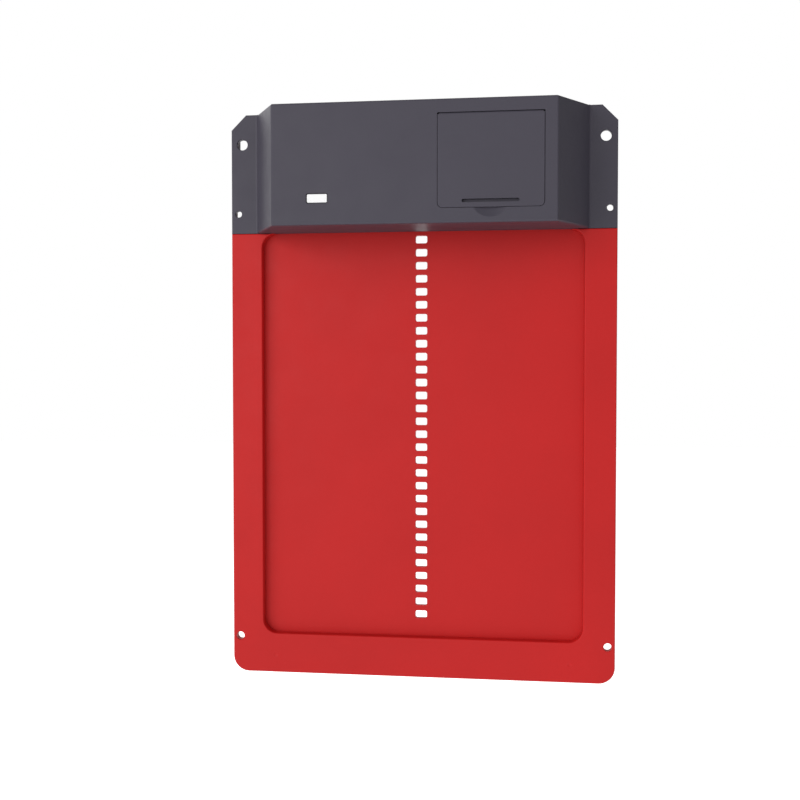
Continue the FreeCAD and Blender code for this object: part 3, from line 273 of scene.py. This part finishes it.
def cell_sleeve(name, plus_z, minus_z):
    """Plain grey sleeve of a battery cell; the dark band is at its plus end."""
    look = Look(name, (0.38, 0.40, 0.42), 0.30, 0.5)
    split = look.add("ShaderNodeSeparateXYZ")
    look.link(look.place, split.inputs[0])
    along = look.span(split.outputs["Z"], minus_z, plus_z, 0.0, 1.0)
    band = look.span(along, BAND_START, BAND_START + SLEEVE_EDGE, 0.0, 1.0)
    ends = look.math("ADD", look.span(along, BARE_PLUS - SLEEVE_EDGE, BARE_PLUS, 0.0, 1.0),
                     look.span(along, BARE_MINUS + SLEEVE_EDGE, BARE_MINUS, 0.0, 1.0))
    scuff = look.noise(2.5 * MM, 4.0, 0.65)
    spread = look.span(scuff, 0.4, 0.75, 0.0, 1.0)
    body = look.blend(spread, (0.42, 0.44, 0.46), (0.37, 0.39, 0.41))
    mark = look.blend(spread, (0.045, 0.050, 0.060), (0.065, 0.070, 0.080))
    base = look.blend(band, body, mark)
    base = look.blend(ends, base, (0.62, 0.61, 0.60))
    look.feed(base, "Base Color")
    look.feed(look.span(scuff, 0.3, 0.7, 0.22, 0.38), "Roughness")
    look.feed(look.bump(look.noise(1.2 * MM, 2.0), 0.01 * MM, 0.4), "Normal")
    return look


def make_materials():
    """One look for each material slot of the record."""
    red = (0.588, 0.0125, 0.0125)
    slate = (0.0595, 0.0538, 0.0745)
    return {
        "red_plastic": moulded("frame_red", red, 0.46, gloss=0.20),
        "red_panel": moulded("panel_red", red, 0.46, 0.6 * MM, 0.012 * MM, 0.035, 0.05, 0.20),
        "slate_plastic": moulded("slate_grey", slate, 0.50, 0.4 * MM, 0.02 * MM, 0.03, 0.15, 0.34),
        "white_plastic": diffuser_with_painted_glow(),
        "black_plastic": moulded("tray_black", (0.022, 0.022, 0.024), 0.48),
        "white_nylon": moulded("nylon_natural", (0.72, 0.70, 0.63), 0.38),
        "chip_black": moulded("epoxy_black", (0.015, 0.015, 0.017), 0.55, 0.2 * MM),
        "capacitor_sleeve": moulded("sleeve_navy", (0.02, 0.03, 0.09), 0.25, 2.0 * MM),
        "amber_resin": moulded("resin_amber", (0.60, 0.22, 0.07), 0.20, 0.8 * MM),
        "wire_sleeve": moulded("wire_red", (0.45, 0.02, 0.02), 0.45, 1.5 * MM),
        "seal_rubber": rubber(),
        "board_green": circuit(),
        "zinc": metal("zinc_plate", (0.66, 0.67, 0.69), 0.34, "y"),
        "steel": metal("ground_steel", (0.60, 0.60, 0.61), 0.28, "x"),
        "black_steel": metal("black_oxide", (0.06, 0.06, 0.065), 0.42, "x"),
        "brass": metal("turned_brass", (0.78, 0.56, 0.25), 0.30, "x"),
        "nickel": metal("nickel_plate", (0.70, 0.67, 0.62), 0.24, "z"),
    }


def dress(looks):
    """Puts each node's look on its object; battery cells get a sleeve that follows their polarity."""
    for row in frame["record"]["subparts"]:
        node, slot = row["node"], row["material_slot"]
        thing = frame["nodes"][node]
        if slot == "cell_wrap":
            low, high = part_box(node)
            up = int(node.rsplit("_", 1)[1]) % 2 == 1
            ends = (high[2], low[2]) if up else (low[2], high[2])
            look = cell_sleeve("sleeve_" + node, *ends)
        else:
            look = looks[slot]
        thing.data.materials.clear()
        thing.data.materials.append(look.material)


# ---- stage, light and camera
def make_floor():
    """Pale floor well below the object; its own glow keeps it as white as the backdrop."""
    size = FLOOR_HALF
    z = CAD_LOW[2] - FLOOR_DROP
    corners = [(-size, -size, z), (size, -size, z), (size, size, z), (-size, size, z)]
    mesh = bpy.data.meshes.new("floor")
    mesh.from_pydata(corners, [], [(0, 1, 2, 3)])
    floor = bpy.data.objects.new("floor", mesh)
    bpy.context.collection.objects.link(floor)
    look = Look("floor_pale", (0.88, 0.88, 0.88), 0.9)
    tint = look.span(look.noise(0.4, 2.0), 0.3, 0.7, 0.0, 1.0)
    look.feed(look.blend(tint, (0.86, 0.86, 0.86), (0.90, 0.90, 0.90)), "Base Color")
    look.set("Specular IOR Level", 0.0)
    look.set("Emission Color", WHITE)
    look.set("Emission Strength", FLOOR_GLOW)
    mesh.materials.append(look.material)
    floor.visible_diffuse = False


def area_light(name, at, side, power):
    """Square lamp aimed at the middle of the object; the camera sees only its light."""
    data = bpy.data.lights.new(name, "AREA")
    data.shape = "SQUARE"
    data.size = side
    data.energy = power
    lamp = bpy.data.objects.new(name, data)
    lamp.location = at
    lamp.visible_camera = False
    middle = (CAD_LOW + CAD_HIGH) / 2
    lamp.rotation_euler = (middle - Vector(at)).to_track_quat("-Z", "Y").to_euler()
    bpy.context.collection.objects.link(lamp)


def make_light():
    """Lamps and a dome brighter towards one side; the camera sees a plain white backdrop."""
    world = bpy.data.worlds.new("studio")
    bpy.context.scene.world = world
    world.use_nodes = True
    tree = world.node_tree
    tree.nodes.clear()

    def node(kind, **values):
        made = tree.nodes.new(kind)
        for key, value in values.items():
            made.inputs[key].default_value = value
        return made

    heading = node("ShaderNodeVectorMath")
    heading.operation = "DOT_PRODUCT"
    heading.inputs[1].default_value = Vector(DOME_TOWARDS).normalized()
    tree.links.new(node("ShaderNodeTexCoord").outputs["Generated"], heading.inputs[0])
    level = node("ShaderNodeMapRange", **{"From Min": -1.0, "From Max": 1.0,
                                          "To Min": DOME_LEVEL - DOME_SWING,
                                          "To Max": DOME_LEVEL + DOME_SWING})
    tree.links.new(heading.outputs["Value"], level.inputs["Value"])
    dome = node("ShaderNodeBackground", Color=WHITE)
    tree.links.new(level.outputs["Result"], dome.inputs["Strength"])
    backdrop = node("ShaderNodeBackground", Color=WHITE, Strength=BACKDROP)
    mix = node("ShaderNodeMixShader")
    tree.links.new(node("ShaderNodeLightPath").outputs["Is Camera Ray"], mix.inputs[0])
    tree.links.new(dome.outputs[0], mix.inputs[1])
    tree.links.new(backdrop.outputs[0], mix.inputs[2])
    tree.links.new(mix.outputs[0], node("ShaderNodeOutputWorld").inputs["Surface"])

    for lamp in LAMPS:
        area_light(*lamp)


def make_camera():
    data = bpy.data.cameras.new("camera")
    data.sensor_width = SENSOR_MM
    data.lens = LENS_MM
    data.clip_start = 0.01
    data.clip_end = 100.0
    camera = bpy.data.objects.new("camera", data)
    camera.location = CAMERA_AT
    camera.rotation_euler = (math.pi / 2 - CAMERA_DOWN, 0.0, CAMERA_TURN)
    bpy.context.collection.objects.link(camera)
    bpy.context.scene.camera = camera


def set_colour_view():
    view = bpy.context.scene.view_settings
    view.view_transform = "Standard"
    view.look = "None"
    view.exposure = 0.0
    view.gamma = 1.0


make_camera()
make_floor()
make_light()
set_colour_view()
dress(make_materials())
